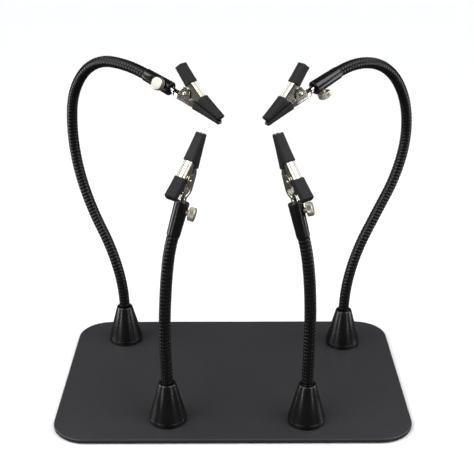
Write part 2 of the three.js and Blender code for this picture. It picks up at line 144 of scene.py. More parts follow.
# Each neck is a chain of equal arcs in one upright plane. "heading" turns that plane from +X, and a
# positive bend (degrees) leans the neck towards it. "at" is the foot's place on the plate, "roll" turns the
# clip about its barrel, and "screw" places the thumb screw round the holder.
LONG_NECK, SHORT_NECK = 262, 108
ARMS = (
    {
        "name": "rear_left",
        "at": (-86.3, 55.5),
        "heading": -36,
        "length": LONG_NECK,
        "bends": (-19, -14.5, 11, 14.5, 15.5, 36, 45.5, 18.5),
        "segments": 4,
        "roll": 180,
        "screw": -110,
    },
    {
        "name": "rear_right",
        "at": (88, 48.6),
        "heading": 217,
        "length": LONG_NECK,
        "bends": (-19, -16.5, -1, 19, 27, 30.5, 38.5, 31),
        "segments": 4,
        "roll": 180,
        "screw": 12,
    },
    {
        "name": "front_left",
        "at": (-45.3, -60.1),
        "heading": 35,
        "length": SHORT_NECK,
        "bends": (-2, 2.4, 3.2, 1.8, 3.3, 10.4),
        "segments": 3,
        "roll": -149,
        "screw": -45,
    },
    {
        "name": "front_right",
        "at": (51.2, -62),
        "heading": 145,
        "length": SHORT_NECK,
        "bends": (-1.8, 1.1, 2.4, 2.6, 4.2, 8.7),
        "segments": 3,
        "roll": 149,
        "screw": -153,
    },
)


def radians(degrees):
    return degrees * math.pi / 180


# ---- camera, floor and light ----


def add_camera():
    data = bpy.data.cameras.new("camera")
    data.sensor_width = 36
    data.lens = CAMERA_LENS
    camera = bpy.data.objects.new("camera", data)
    camera.location = CAMERA_PLACE
    camera.rotation_euler = (radians(90 - CAMERA_TILT), 0, radians(CAMERA_TURN))
    bpy.context.scene.collection.objects.link(camera)
    bpy.context.scene.camera = camera


def add_softbox(name, place, target, width, height, power):
    data = bpy.data.lights.new(name, "AREA")
    data.shape = "RECTANGLE"
    data.size = width
    data.size_y = height
    data.energy = power
    light = bpy.data.objects.new(name, data)
    light.location = place
    light.rotation_euler = (Vector(target) - Vector(place)).to_track_quat("-Z", "Y").to_euler()
    bpy.context.scene.collection.objects.link(light)


def add_dome(name, azimuth, elevation, strength):
    """A distant lamp as wide as a studio dome."""
    data = bpy.data.lights.new(name, "SUN")
    data.energy = strength
    data.angle = radians(DOME_SPREAD)
    lamp = bpy.data.objects.new(name, data)
    lamp.rotation_euler = (radians(90 - elevation), 0, radians(azimuth))
    bpy.context.scene.collection.objects.link(lamp)


def add_world():
    """Dim walls round the object, which look white where the view goes past the floor."""
    world = bpy.data.worlds.new("studio")
    world.use_nodes = True
    tree = world.node_tree
    background = tree.nodes["Background"]
    background.inputs["Color"].default_value = (1, 1, 1, 1)
    path = tree.nodes.new("ShaderNodeLightPath")
    level = tree.nodes.new("ShaderNodeMapRange")
    level.inputs["To Min"].default_value = WALL_LIGHT
    level.inputs["To Max"].default_value = 1
    tree.links.new(path.outputs["Is Camera Ray"], level.inputs["Value"])
    tree.links.new(level.outputs["Result"], background.inputs["Strength"])
    bpy.context.scene.world = world


def add_floor():
    mesh = bpy.data.meshes.new("floor")
    corners = [(-FLOOR_HALF, -FLOOR_HALF, 0), (FLOOR_HALF, -FLOOR_HALF, 0)]
    corners += [(FLOOR_HALF, FLOOR_HALF, 0), (-FLOOR_HALF, FLOOR_HALF, 0)]
    mesh.from_pydata(corners, [], [(0, 1, 2, 3)])
    floor = bpy.data.objects.new("floor", mesh)
    bpy.context.scene.collection.objects.link(floor)
    material, shader = new_material("floor_paper", FLOOR_PAPER, 0.9)
    shader.inputs["Specular IOR Level"].default_value = 0
    nodes = Nodes(material)
    path = nodes.add("ShaderNodeLightPath")
    seen = nodes.tint(path.outputs["Is Camera Ray"], FLOOR_BOUNCE, FLOOR_PAPER)
    nodes.link(seen, shader.inputs["Base Color"])
    mesh.materials.append(material)


def light_studio():
    for dome in DOMES:
        add_dome(*dome)
    for softbox in SOFTBOXES:
        add_softbox(*softbox)


# ---- materials ----


def new_material(name, colour, roughness, metallic=0.0):
    material = bpy.data.materials.new(name)
    material.use_nodes = True
    shader = material.node_tree.nodes["Principled BSDF"]
    shader.inputs["Base Color"].default_value = (*colour, 1)
    shader.inputs["Roughness"].default_value = roughness
    shader.inputs["Metallic"].default_value = metallic
    return material, shader


class Nodes:
    """Small helpers for one material's node tree."""

    def __init__(self, material):
        self.tree = material.node_tree

    def add(self, kind, **values):
        node = self.tree.nodes.new(kind)
        for key, value in values.items():
            setattr(node, key, value)
        return node

    def link(self, source, target):
        self.tree.links.new(source, target)

    def coordinates(self, output, scale):
        source = self.add("ShaderNodeTexCoord")
        mapping = self.add("ShaderNodeMapping")
        mapping.inputs["Scale"].default_value = scale
        self.link(source.outputs[output], mapping.inputs["Vector"])
        return mapping.outputs["Vector"]

    def noise(self, vector, scale, detail=4, roughness=0.55):
        node = self.add("ShaderNodeTexNoise")
        node.inputs["Scale"].default_value = scale
        node.inputs["Detail"].default_value = detail
        node.inputs["Roughness"].default_value = roughness
        self.link(vector, node.inputs["Vector"])
        return node.outputs["Fac"]

    def ramp(self, value, low, high, start=0.3, end=0.7):
        """A value from low to high as the input goes from start to end."""
        node = self.add("ShaderNodeMapRange")
        node.inputs["From Min"].default_value = start
        node.inputs["From Max"].default_value = end
        node.inputs["To Min"].default_value = low
        node.inputs["To Max"].default_value = high
        self.link(value, node.inputs["Value"])
        return node.outputs["Result"]

    def tint(self, value, dark, light):
        node = self.add("ShaderNodeMix", data_type="RGBA")
        node.inputs["A"].default_value = (*dark, 1)
        node.inputs["B"].default_value = (*light, 1)
        self.link(value, node.inputs["Factor"])
        return node.outputs["Result"]

    def bump(self, height, shader, strength, distance, below=None):
        node = self.add("ShaderNodeBump")
        node.inputs["Strength"].default_value = strength
        node.inputs["Distance"].default_value = distance
        self.link(height, node.inputs["Height"])
        if below is not None:
            self.link(below, node.inputs["Normal"])
        self.link(node.outputs["Normal"], shader.inputs["Normal"])
        return node.outputs["Normal"]


def powder_coat():
    """Black powder coat: a fine orange-peel skin with a soft sheen."""
    material, shader = new_material("plate_powder_coat", (0.011, 0.011, 0.012), 0.42)
    shader.inputs["Specular IOR Level"].default_value = 0.5
    nodes = Nodes(material)
    place = nodes.coordinates("Object", (1, 1, 1))
    grain = nodes.noise(place, 1800, 3)
    peel = nodes.noise(place, 520, 2)
    cloud = nodes.noise(place, 9, 4)
    dark, light = (0.015, 0.015, 0.0165), (0.037, 0.036, 0.04)
    nodes.link(nodes.tint(nodes.ramp(grain, 0, 1), dark, light), shader.inputs["Base Color"])
    nodes.link(nodes.ramp(cloud, 0.38, 0.48), shader.inputs["Roughness"])
    low = nodes.bump(peel, shader, 0.25, 0.0002)
    nodes.bump(grain, shader, 0.3, 0.00006, low)
    return material


def pad_rubber():
    """Anti-slip foam rubber with a fine closed-cell grain."""
    material, shader = new_material("pad_foam_rubber", (0.02, 0.02, 0.02), 0.85)
    nodes = Nodes(material)
    place = nodes.coordinates("Object", (1, 1, 1))
    cells = nodes.add("ShaderNodeTexVoronoi")
    cells.inputs["Scale"].default_value = 900
    nodes.link(place, cells.inputs["Vector"])
    dark, light = (0.022, 0.022, 0.022), (0.07, 0.07, 0.072)
    nodes.link(nodes.tint(cells.outputs["Distance"], dark, light), shader.inputs["Base Color"])
    nodes.bump(cells.outputs["Distance"], shader, 0.6, 0.0003)
    return material


def gloss_black(name, rough):
    """Gloss black lacquer on turned metal, with faint handling marks in the gloss."""
    material, shader = new_material(name, (0.002, 0.002, 0.0022), rough)
    nodes = Nodes(material)
    place = nodes.coordinates("Object", (1, 1, 1))
    smudge = nodes.noise(place, 60, 5)
    fine = nodes.noise(place, 1500, 3)
    nodes.link(nodes.ramp(smudge, 0.85 * rough, 1.2 * rough), shader.inputs["Roughness"])
    nodes.bump(fine, shader, 0.06, 0.00005)
    return material


def neck_black():
    """Black plated winding, satin on the crowns of the wire, with painted shade: the base colour is darker
    in the grooves than on the crowns.
    """
    material, shader = new_material("neck_black_plating", (0.004, 0.004, 0.0045), 0.28)
    shader.inputs["Specular IOR Level"].default_value = 0.3
    nodes = Nodes(material)
    place = nodes.coordinates("Object", (1, 1, 1))
    rub = nodes.noise(place, 240, 5)
    # Painted shade: the wire's crown share from the mesh lightens the base colour on the crowns and leaves
    # it darker in the grooves.
    height = nodes.add("ShaderNodeAttribute", attribute_name="crown")
    crown = nodes.ramp(height.outputs["Fac"], 0, 1, 0.1, 0.95)
    dark, light = (0.001, 0.001, 0.001), (0.004, 0.004, 0.0045)
    nodes.link(nodes.tint(crown, dark, light), shader.inputs["Base Color"])
    nodes.link(nodes.ramp(rub, 0.14, 0.26), shader.inputs["Roughness"])
    nodes.bump(rub, shader, 0.08, 0.00005)
    return material


def nickel(name, colour, rough, brushed):
    """Bright nickel on sheet or bar: fine drawn lines along the piece and a slightly uneven gloss."""
    material, shader = new_material(name, colour, rough, 1.0)
    nodes = Nodes(material)
    along = nodes.coordinates("UV", (60, 2.5, 1))
    lines = nodes.noise(along, 9, 3)
    patch = nodes.noise(nodes.coordinates("Object", (1, 1, 1)), 110, 2)
    darker = tuple(0.88 * c for c in colour)
    share = nodes.ramp(patch, 0, 1, 0.25, 0.75)
    nodes.link(nodes.tint(share, darker, colour), shader.inputs["Base Color"])
    nodes.link(nodes.ramp(patch, rough * 0.88, rough * 1.15, 0.25, 0.75), shader.inputs["Roughness"])
    nodes.bump(lines, shader, brushed, 0.00004)
    return material


def boot_rubber():
    """Matte black shrink rubber with lengthwise draw marks and paler rubbed streaks."""
    material, shader = new_material("boot_rubber", (0.014, 0.014, 0.015), 0.5)
    shader.inputs["Specular IOR Level"].default_value = 0.35
    nodes = Nodes(material)
    streaks = nodes.noise(nodes.coordinates("UV", (42, 1.1, 1)), 7, 5, 0.6)
    grain = nodes.noise(nodes.coordinates("Object", (1, 1, 1)), 1600, 3)
    rubbed = nodes.ramp(streaks, 0, 1, 0.38, 0.66)
    dark, light = (0.002, 0.002, 0.0022), (0.02, 0.02, 0.0215)
    nodes.link(nodes.tint(rubbed, dark, light), shader.inputs["Base Color"])
    nodes.link(nodes.ramp(streaks, 0.5, 0.68), shader.inputs["Roughness"])
    low = nodes.bump(streaks, shader, 0.6, 0.0004)
    nodes.bump(grain, shader, 0.25, 0.00006, low)
    return material


# ---- mesh building ----


def add_piece(name, points, faces, place, material, uvs=None, flat_above=None):
    """A smooth-shaded object from points in millimetres in a local frame. Edges bent by more than flat_above
    degrees stay sharp. uvs are one (u, v) for each point."""
    mesh = bpy.data.meshes.new(name)
    mesh.from_pydata([place @ Vector(p) * MM for p in points], [], faces)
    if uvs:
        layer = mesh.uv_layers.new(name="UVMap")
        for loop in mesh.loops:
            layer.data[loop.index].uv = uvs[loop.vertex_index]
    mesh.materials.append(material)
    mesh.validate()
    bm = bmesh.new()
    bm.from_mesh(mesh)
    bmesh.ops.remove_doubles(bm, verts=bm.verts, dist=0.002 * MM)
    bmesh.ops.dissolve_degenerate(bm, edges=bm.edges, dist=0.001 * MM)
    bmesh.ops.recalc_face_normals(bm, faces=bm.faces)
    sharp = radians(flat_above or 180)
    for face in bm.faces:
        face.smooth = True
    for edge in bm.edges:
        if len(edge.link_faces) == 2 and edge.calc_face_angle(0) > sharp:
            edge.smooth = False
    bm.to_mesh(mesh)
    bm.free()
    piece = bpy.data.objects.new(name, mesh)
    bpy.context.scene.collection.objects.link(piece)
    return piece


def finish_piece(piece, body, slot, *nodes):
    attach(piece, body)
    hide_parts(*nodes)
    return piece


def skin(rings, closed=False, caps=True):
    """Points and faces through rings of equal size, capped at both ends unless the skin closes on itself."""
    count = len(rings[0])
    faces = []
    steps = len(rings) if closed else len(rings) - 1
    for k in range(steps):
        low, high = k * count, ((k + 1) % len(rings)) * count
        for i in range(count):
            j = (i + 1) % count
            faces.append((low + i, low + j, high + j, high + i))
    if caps and not closed:
        faces.append(tuple(reversed(range(count))))
        last = (len(rings) - 1) * count
        faces.append(tuple(range(last, last + count)))
    return [p for ring in rings for p in ring], faces


def rounded(points, radius, steps=3):
    """An open outline with its inner corners rounded. A point may state its own radius as a third number."""
    result = [tuple(points[0][:2])]
    for before, corner, after in zip(points, points[1:], points[2:]):
        r = corner[2] if len(corner) > 2 else radius
        c = Vector(corner[:2])
        to_before = Vector(before[:2]) - c
        to_after = Vector(after[:2]) - c
        r = min(r, 0.45 * to_before.length, 0.45 * to_after.length)
        start = c + to_before.normalized() * r
        end = c + to_after.normalized() * r
        for i in range(steps + 1):
            t = i / steps
            result.append(tuple(start * (1 - t) ** 2 + c * 2 * t * (1 - t) + end * t * t))
    result.append(tuple(points[-1][:2]))
    return result


def lathe(profile, sides, ripple=None):
    """Points, faces and uvs of a body turned about Z from (radius, height) points, from axis to axis.
    ripple(radius, height, angle) may change the radius."""
    rings, uvs = [], []
    run = 0
    for k, (radius, height) in enumerate(profile):
        if k:
            run += math.dist(profile[k], profile[k - 1])
        ring = []
        for i in range(sides):
            angle = 2 * math.pi * i / sides
            r = ripple(radius, height, angle) if ripple else radius
            ring.append((r * math.cos(angle), r * math.sin(angle), height))
            uvs.append((i / sides, run / UV_LENGTH))
        rings.append(ring)
    points, faces = skin(rings, caps=False)
    return points, faces, uvs


def smooth_step(value, start, end):
    t = min(max((value - start) / (end - start), 0), 1)
    return t * t * (3 - 2 * t)


def between(value, keys, values):
    """Straight-line reading of values listed at rising keys."""
    if value <= keys[0]:
        return values[0]
    for k in range(1, len(keys)):
        if value <= keys[k]:
            t = (value - keys[k - 1]) / (keys[k] - keys[k - 1])
            return values[k - 1] + t * (values[k] - values[k - 1])
    return values[-1]


def apply_modifiers(piece):
    bpy.context.view_layer.update()
    evaluated = piece.evaluated_get(bpy.context.evaluated_depsgraph_get())
    mesh = bpy.data.meshes.new_from_object(evaluated)
    piece.modifiers.clear()
    piece.data = mesh


# ---- frames of one arm ----


def arm_frame(arm):
    return Matrix.Translation((*arm["at"], PLATE_TOP)) @ Matrix.Rotation(radians(arm["heading"]), 4, "Z")


def neck_at(arm, distance):
    """The neck's (x, z, lean) at a distance from the cone's top, in the arm's plane."""
    arc = arm["length"] / len(arm["bends"])
    x, z, lean = 0.0, min(distance, 0.0), 0.0
    left = max(distance, 0.0)
    for bend in arm["bends"]:
        part = min(left, arc)
        turn = radians(bend) * part / arc
        chord = part if abs(turn) < 1e-9 else part * math.sin(turn / 2) / (turn / 2)
        x += chord * math.sin(lean + turn / 2)
        z += chord * math.cos(lean + turn / 2)
        lean += turn
        left -= part
    return x, z, lean


def neck_frame(arm, distance):
    x, z, lean = neck_at(arm, distance)
    return arm_frame(arm) @ Matrix.Translation((x, 0, CONE_HEIGHT + z)) @ Matrix.Rotation(lean, 4, "Y")


def hand_frame(arm):
    return neck_frame(arm, arm["length"])


def clip_frame(arm):
    mouth = Matrix.Translation((0, 0, HOLDER_LENGTH + GAP))
    return hand_frame(arm) @ mouth @ Matrix.Rotation(radians(arm["roll"]), 4, "Z")


def pivot_frame(arm):
    return clip_frame(arm) @ Matrix.Translation((PIVOT_X, 0, PIVOT_Z))


def screw_frame(arm):
    seat = Matrix.Translation((0, 0, HOLDER_LENGTH - SCREW_FROM_MOUTH))
    turn = Matrix.Rotation(radians(arm["screw"]), 4, "Z") @ Matrix.Rotation(radians(90), 4, "Y")
    return hand_frame(arm) @ seat @ turn


# ---- base plate ----


def slab_ring(width, depth, corner, inset, height, steps=14):
    """A rounded rectangle's outline, drawn in by inset."""
    w, d, r = width / 2 - inset, depth / 2 - inset, corner - inset
    ring = []
    for quarter, (sx, sy) in enumerate(((1, 1), (-1, 1), (-1, -1), (1, -1))):
        for i in range(steps + 1):
            angle = math.pi / 2 * (quarter + i / steps)
            ring.append((sx * (w - r) + r * math.cos(angle), sy * (d - r) + r * math.sin(angle), height))
    return ring


def slab(name, width, depth, corner, low, high, edge, material):
    """A flat rounded plate between two heights, with its edges rounded over."""
    steps = 4
    angles = [math.pi / 2 * i / steps for i in range(steps + 1)]
    eased = [(edge * (1 - math.sin(angle)), low + edge * (1 - math.cos(angle))) for angle in angles]
    eased += [(edge * (1 - math.cos(angle)), high - edge * (1 - math.sin(angle))) for angle in angles]
    rings = [slab_ring(width, depth, corner, inset, height) for inset, height in eased]
    points, faces = skin(rings)
    return add_piece(name, points, faces, Matrix.Identity(4), material)


def add_base():
    size = (PLATE_WIDTH, PLATE_DEPTH, PLATE_CORNER)
    plate = slab("plate_shell", *size, PAD_THICKNESS, PLATE_TOP, 0.8, powder_coat())
    finish_piece(plate, "base", "plate_coat", "base_plate")
    width, depth = PLATE_WIDTH - 2 * PAD_INSET, PLATE_DEPTH - 2 * PAD_INSET
    pad = slab("pad_sheet", width, depth, PLATE_CORNER - PAD_INSET, 0, PAD_THICKNESS, 0.2, pad_rubber())
    finish_piece(pad, "base", "pad_rubber", "anti_slip_pad")


# ---- foot: cone and magnet ----


def add_cone(arm, material):
    pocket = MAGNET_RADIUS + GAP
    ceiling = LIFT + MAGNET_THICKNESS + GAP
    line = CONE_RADIUS - CONE_LINE
    bore = NECK_RADIUS + GAP
    floor = CONE_HEIGHT - NECK_IN_CONE - GAP
    profile = rounded(
        [
            (0, ceiling),
            (pocket, ceiling, 0.2),
            (pocket, LIFT, 0.15),
            (CONE_RADIUS, LIFT, 0.5),
            (CONE_RADIUS, CONE_BAND, 0.12),
            (line, CONE_BAND + 0.1, 0.05),
            (line, CONE_BAND + 0.35, 0.05),
            (CONE_RADIUS - CONE_LINE / 2, CONE_BAND + 0.5, 0.3),
            (CONE_TOP_RADIUS, CONE_HEIGHT, 0.7),
            (bore, CONE_HEIGHT, 0.35),
            (bore, floor, 0.2),
            (0, floor),
        ],
        0.3,
    )
    points, faces, uvs = lathe(profile, 72)
    cone = add_piece(arm["name"] + "_cone_shell", points, faces, arm_frame(arm), material, uvs, 40)
    finish_piece(cone, arm["name"] + "_foot", "gloss_black", arm["name"] + "_cone")


def add_magnet(arm, material):
    """A pot magnet: a steel cup with the bare magnet set in it behind a narrow resin ring."""
    top = LIFT + MAGNET_THICKNESS
    cup = MAGNET_RADIUS - MAGNET_CUP
    core = cup - RESIN_RING
    face, hole, resin = LIFT + 0.05, LIFT + 0.15, LIFT + 0.5
    profile = rounded(
        [
            (0, hole),
            (MAGNET_HOLE, hole, 0.1),
            (MAGNET_HOLE, face, 0.1),
            (core, face, 0.15),
            (core, resin, 0.1),
            (cup, resin, 0.1),
            (cup, LIFT, 0.1),
            (MAGNET_RADIUS, LIFT, 0.4),
            (MAGNET_RADIUS, top, 0.4),
            (0, top),
        ],
        0.2,
    )
    points, faces, uvs = lathe(profile, 56)
    magnet = add_piece(arm["name"] + "_pot_magnet", points, faces, arm_frame(arm), material, uvs, 40)
    finish_piece(magnet, arm["name"] + "_magnet_base", "magnet_nickel", arm["name"] + "_magnet")


# ---- gooseneck ----


def winding(distance, angle):
    """Depth below the crown, and the crown's share (0 to 1), of the wound wire at a place on the neck."""
    turn = (distance / NECK_PITCH - angle / (2 * math.pi)) % 1
    across = (turn - 0.5) * NECK_PITCH
    crown = math.sqrt(max(0, 1 - (across / WIRE_HALF_WIDTH) ** 2))
    return WIRE_GROOVE * (1 - crown), crown


def neck_mesh(name, arm, start, end, material):
    rows = max(2, round((end - start) / NECK_PITCH * NECK_ROWS_PER_TURN))
    rings, crowns = [], []
    for k in range(rows + 1):
        distance = start + (end - start) * k / rows
        place = neck_frame(arm, distance)
        ring = []
        for i in range(NECK_SIDES):
            angle = 2 * math.pi * i / NECK_SIDES
            depth, crown = winding(distance, angle)
            radius = NECK_RADIUS - depth
            ring.append(place @ Vector((radius * math.cos(angle), radius * math.sin(angle), 0)))
            crowns.append(crown)
        rings.append(ring)
    points, faces = skin(rings)
    mesh = bpy.data.meshes.new(name)
    mesh.from_pydata([p * MM for p in points], [], faces)
    # The crown share is kept on the mesh for the material's painted shade, which is darker in the grooves.
    mesh.attributes.new("crown", "FLOAT", "POINT").data.foreach_set("value", crowns)
    mesh.materials.append(material)
    ends = {v for face in mesh.polygons if len(face.vertices) > 4 for v in face.vertices}
    for face in mesh.polygons:
        face.use_smooth = len(face.vertices) == 4
    for edge in mesh.edges:
        edge.use_edge_sharp = all(v in ends for v in edge.vertices)
    piece = bpy.data.objects.new(name, mesh)
    bpy.context.scene.collection.objects.link(piece)
    return piece


def add_neck(arm, material):
    """One piece from the cone to the middle of the first stretch, one piece over each hinge, and
    one from the middle of the last stretch to the holder."""
    name, count = arm["name"], arm["segments"]
    stretch = arm["length"] / count
    bodies = [name + "_foot"] + [f"{name}_bend_{k}" for k in range(2, count)] + [name + "_hand"]
    middles = [stretch * (k + 0.5) for k in range(count)]
    root = neck_mesh(name + "_neck_root", arm, -NECK_IN_CONE, middles[0], material)
    finish_piece(root, bodies[0], "neck_black", name + "_neck_1")
    for k in range(count - 1):
        bend = neck_mesh(f"{name}_neck_bend_{k + 1}", arm, middles[k], middles[k + 1], material)
        hinge = stretch * (k + 1)
        reach = BEND_REACH * stretch
        start = neck_frame(arm, hinge - reach).translation * MM
        end = neck_frame(arm, hinge + reach).translation * MM
        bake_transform(bend)
        if k:
            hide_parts(f"{name}_neck_{k + 1}")
    tip = neck_mesh(name + "_neck_tip", arm, middles[-1], arm["length"], material)
    finish_piece(tip, bodies[-1], "neck_black", f"{name}_neck_{count}")


# ---- clip holder and thumb screw ----


def add_holder(arm, material):
    mouth = HOLDER_LENGTH
    profile = rounded(
        [
            (0, -SPIGOT_LENGTH),
            (SPIGOT_RADIUS, -SPIGOT_LENGTH, 0.4),
            (SPIGOT_RADIUS, 0.05, 0.1),
            (HOLDER_NECK_RADIUS, 0.05, 0.8),
            (HOLDER_MOUTH_RADIUS, mouth - 2, 0.8),
            (HOLDER_MOUTH_RADIUS, mouth, 0.8),
            (HOLDER_BORE, mouth, 0.5),
            (HOLDER_BORE, mouth - HOLDER_BORE_DEPTH, 0.3),
            (0, mouth - HOLDER_BORE_DEPTH),
        ],
        0.4,
        5,
    )
    points, faces, uvs = lathe(profile, 64)
    name = arm["name"]
    holder = add_piece(name + "_ferrule", points, faces, hand_frame(arm), material, uvs, 40)
    cut_screw_hole(arm, holder, material)
    finish_piece(holder, name + "_hand", "gloss_black", name + "_clip_holder")


def cut_screw_hole(arm, holder, material):
    """Bores the holder's wall from inside its bore to well outside it."""
    low, high = 0.5, 9
    outline = [(0, low), (SCREW_HOLE_RADIUS, low), (SCREW_HOLE_RADIUS, high), (0, high)]
    points, faces, _ = lathe(outline, 40)
    cutter = add_piece("hole_cutter", points, faces, screw_frame(arm), material)
    cut = holder.modifiers.new("screw_hole", "BOOLEAN")
    cut.operation = "DIFFERENCE"
    cut.solver = "EXACT"
    cut.object = cutter
    apply_modifiers(holder)
    bpy.data.objects.remove(cutter)


def screw_ripple(radius, height, angle):
    """The screw's radius at a place: thread on the shank, ridges on the head, smooth between them."""
    on_shank = SCREW_RADIUS - 0.6 < radius < SCREW_RADIUS + 0.2 and height < SCREW_SEAT - 0.1
    on_head = radius > SCREW_HEAD_RADIUS - 0.2
    if on_shank:
        turn = (height / THREAD_PITCH - angle / (2 * math.pi)) % 1
        return radius - THREAD_DEPTH * abs(2 * turn - 1)
    if on_head:
        flank = smooth_step(height, SCREW_SEAT + SCREW_EDGE, SCREW_SEAT + 0.9)
        flank -= smooth_step(height, SCREW_TOP - 0.9, SCREW_TOP - SCREW_EDGE)
        turn = angle * KNURL_RIDGES / (2 * math.pi) % 1
        return radius - KNURL_DEPTH * flank * abs(2 * turn - 1)
    return radius


def add_thumb_screw(arm, material):
    """A knurled head on a threaded shank that reaches the clip's barrel."""
    low = BARREL_RADIUS + GAP
    row = 0.09
    shank = [(SCREW_RADIUS, low + 0.4 + row * k) for k in range(int((SCREW_SEAT - low - 0.6) / row))]
    head = rounded(
        [
            (SCREW_RADIUS, SCREW_SEAT - 0.1),
            (SCREW_RADIUS, SCREW_SEAT, 0.1),
            (SCREW_HEAD_RADIUS - SCREW_EDGE, SCREW_SEAT, 0.3),
            (SCREW_HEAD_RADIUS, SCREW_SEAT + SCREW_EDGE, 0.2),
            (SCREW_HEAD_RADIUS, SCREW_SEAT + 2 * SCREW_EDGE, 0.05),
            (SCREW_HEAD_RADIUS, SCREW_TOP - 2 * SCREW_EDGE, 0.05),
            (SCREW_HEAD_RADIUS, SCREW_TOP - SCREW_EDGE, 0.2),
            (SCREW_HEAD_RADIUS - 1.1 * SCREW_EDGE, SCREW_TOP, 0.15),
            (0, SCREW_TOP),
        ],
        0.2,
    )
    profile = [(0, low), (SCREW_RADIUS - 0.7, low), (SCREW_RADIUS - 0.5, low + 0.3)] + shank + head
    points, faces, uvs = lathe(profile, 144, screw_ripple)
    name = arm["name"]
    screw = add_piece(name + "_knurled_screw", points, faces, screw_frame(arm), material, uvs, 45)
    finish_piece(screw, name + "_screw", "screw_nickel", name + "_thumb_screw")


# ---- alligator clip ----


def top_line(step=0.4):
    """The upper jaw's stations from the nose back: x, z, slope in radians, and distance along the line."""
    total = sum(TOP_LENGTHS)
    knees = (TOP_LENGTHS[0], TOP_LENGTHS[0] + TOP_LENGTHS[1])
    x, z = TOP_START
    count = round(total / step)
    stations = []
    for k in range(count + 1):
        run = total * k / count
        slope = TOP_SLOPES[0]
        slope += (TOP_SLOPES[1] - TOP_SLOPES[0]) * smooth_step(run, knees[0] - 1.5, knees[0] + 1.5)
        slope += (TOP_SLOPES[2] - TOP_SLOPES[1]) * smooth_step(run, knees[1] - 1.5, knees[1] + 1.5)
        stations.append((x, z, radians(slope), run))
        x += total / count * math.sin(radians(slope))
        z -= total / count * math.cos(radians(slope))
    return stations


def ray_exit(point, direction, outline):
    """How far along a ray its last crossing of a closed outline is, or zero."""
    far = 0.0
    px, pz = point
    dx, dz = direction
    for (ax, az), (bx, bz) in zip(outline, outline[1:] + outline[:1]):
        ex, ez = bx - ax, bz - az
        cross = dx * ez - dz * ex
        if abs(cross) < 1e-9:
            continue
        along = ((ax - px) * ez - (az - pz) * ex) / cross
        share = ((ax - px) * dz - (az - pz) * dx) / cross
        if along > 0 and 0 <= share <= 1:
            far = max(far, along)
    return far


def circle(radius, sides=40):
    turns = [2 * math.pi * i / sides for i in range(sides)]
    return [(PIVOT_X + radius * math.cos(turn), PIVOT_Z + radius * math.sin(turn)) for turn in turns]


def channel_section(half_width, depth, groove=0.0, bend=0.8, flank=7, arc=4, flat=8):
    """A square-bottomed U as (across, down) points, from one side's free edge round to the other's.
    groove is the depth of the two pressed lines along the flat."""
    bend = min(bend, 0.6 * depth, 0.6 * half_width)
    side = []
    for i in range(flank):
        side.append((half_width, depth - (depth - bend) * i / (flank - 1)))
    for i in range(1, arc + 1):
        angle = math.pi / 2 * i / arc
        side.append((half_width - bend + bend * math.cos(angle), bend - bend * math.sin(angle)))
    inner = half_width - bend
    for i in range(1, flat):
        side.append((inner * (1 - i / flat), groove if i in (2, 3) else 0.0))
    return side + [(0.0, 0.0)] + [(-across, down) for across, down in reversed(side)]


def sheet_piece(name, rows, place, material):
    """Sheet metal through rows of points on its outer face: given its thickness, with its edges eased."""
    count = len(rows[0])
    points = [p for row in rows for p in row]
    faces = []
    for k in range(len(rows) - 1):
        for i in range(count - 1):
            a = k * count + i
            faces.append((a, a + 1, a + 1 + count, a + count))
    uvs = [(i / count, k / len(rows)) for k in range(len(rows)) for i in range(count)]
    mesh = bpy.data.meshes.new(name)
    mesh.from_pydata([place @ Vector(p) * MM for p in points], [], faces)
    layer = mesh.uv_layers.new(name="UVMap")
    for loop in mesh.loops:
        layer.data[loop.index].uv = uvs[loop.vertex_index]
    mesh.materials.append(material)
    for face in mesh.polygons:
        face.use_smooth = True
    piece = bpy.data.objects.new(name, mesh)
    bpy.context.scene.collection.objects.link(piece)
    solid = piece.modifiers.new("thickness", "SOLIDIFY")
    solid.thickness = SHEET * MM
    solid.offset = -1
    solid.use_even_offset = True
    ease = piece.modifiers.new("edges", "BEVEL")
    ease.width = 0.09 * MM
    ease.segments = 2
    ease.limit_method = "ANGLE"
    ease.angle_limit = radians(50)
    apply_modifiers(piece)
    for face in piece.data.polygons:
        face.use_smooth = True
    return piece


def add_upper_jaw(arm, material):
    """The sheet's sides hang deeper where they reach down to the rivet: to the flange and the round lobe."""
    stations = top_line()
    runs = (0, TOP_LENGTHS[0], sum(TOP_LENGTHS[:2]), sum(TOP_LENGTHS))
    knee = next(s for s in stations if s[3] >= runs[1])
    heel = next(s for s in stations if s[3] >= runs[2])
    flange = [
        (heel[0] - 1, heel[1]),
        (knee[0] - 1, knee[1]),
        (knee[0] - 4.6, knee[1] - 2),
        (PIVOT_X - LOBE_RADIUS, PIVOT_Z + 1),
        (PIVOT_X, PIVOT_Z - LOBE_RADIUS),
        (PIVOT_X + 4.2, PIVOT_Z - 0.8),
    ]
    rows = []
    for x, z, slope, run in stations:
        down = (-math.cos(slope), -math.sin(slope))
        depth = between(run, runs, UPPER_DEPTHS)
        depth = max(depth, ray_exit((x, z), down, flange), ray_exit((x, z), down, circle(LOBE_RADIUS)))
        half_width = between(run, runs, UPPER_HALF_WIDTHS)
        rows.append([
            (x + down[0] * below, across, z + down[1] * below)
            for across, below in channel_section(half_width, depth, PRESSED_LINE)
        ])
    name = arm["name"]
    jaw = sheet_piece(name + "_upper_jaw_sheet", rows, clip_frame(arm), material)
    finish_piece(jaw, name + "_lever", "clip_nickel", name + "_upper_jaw")


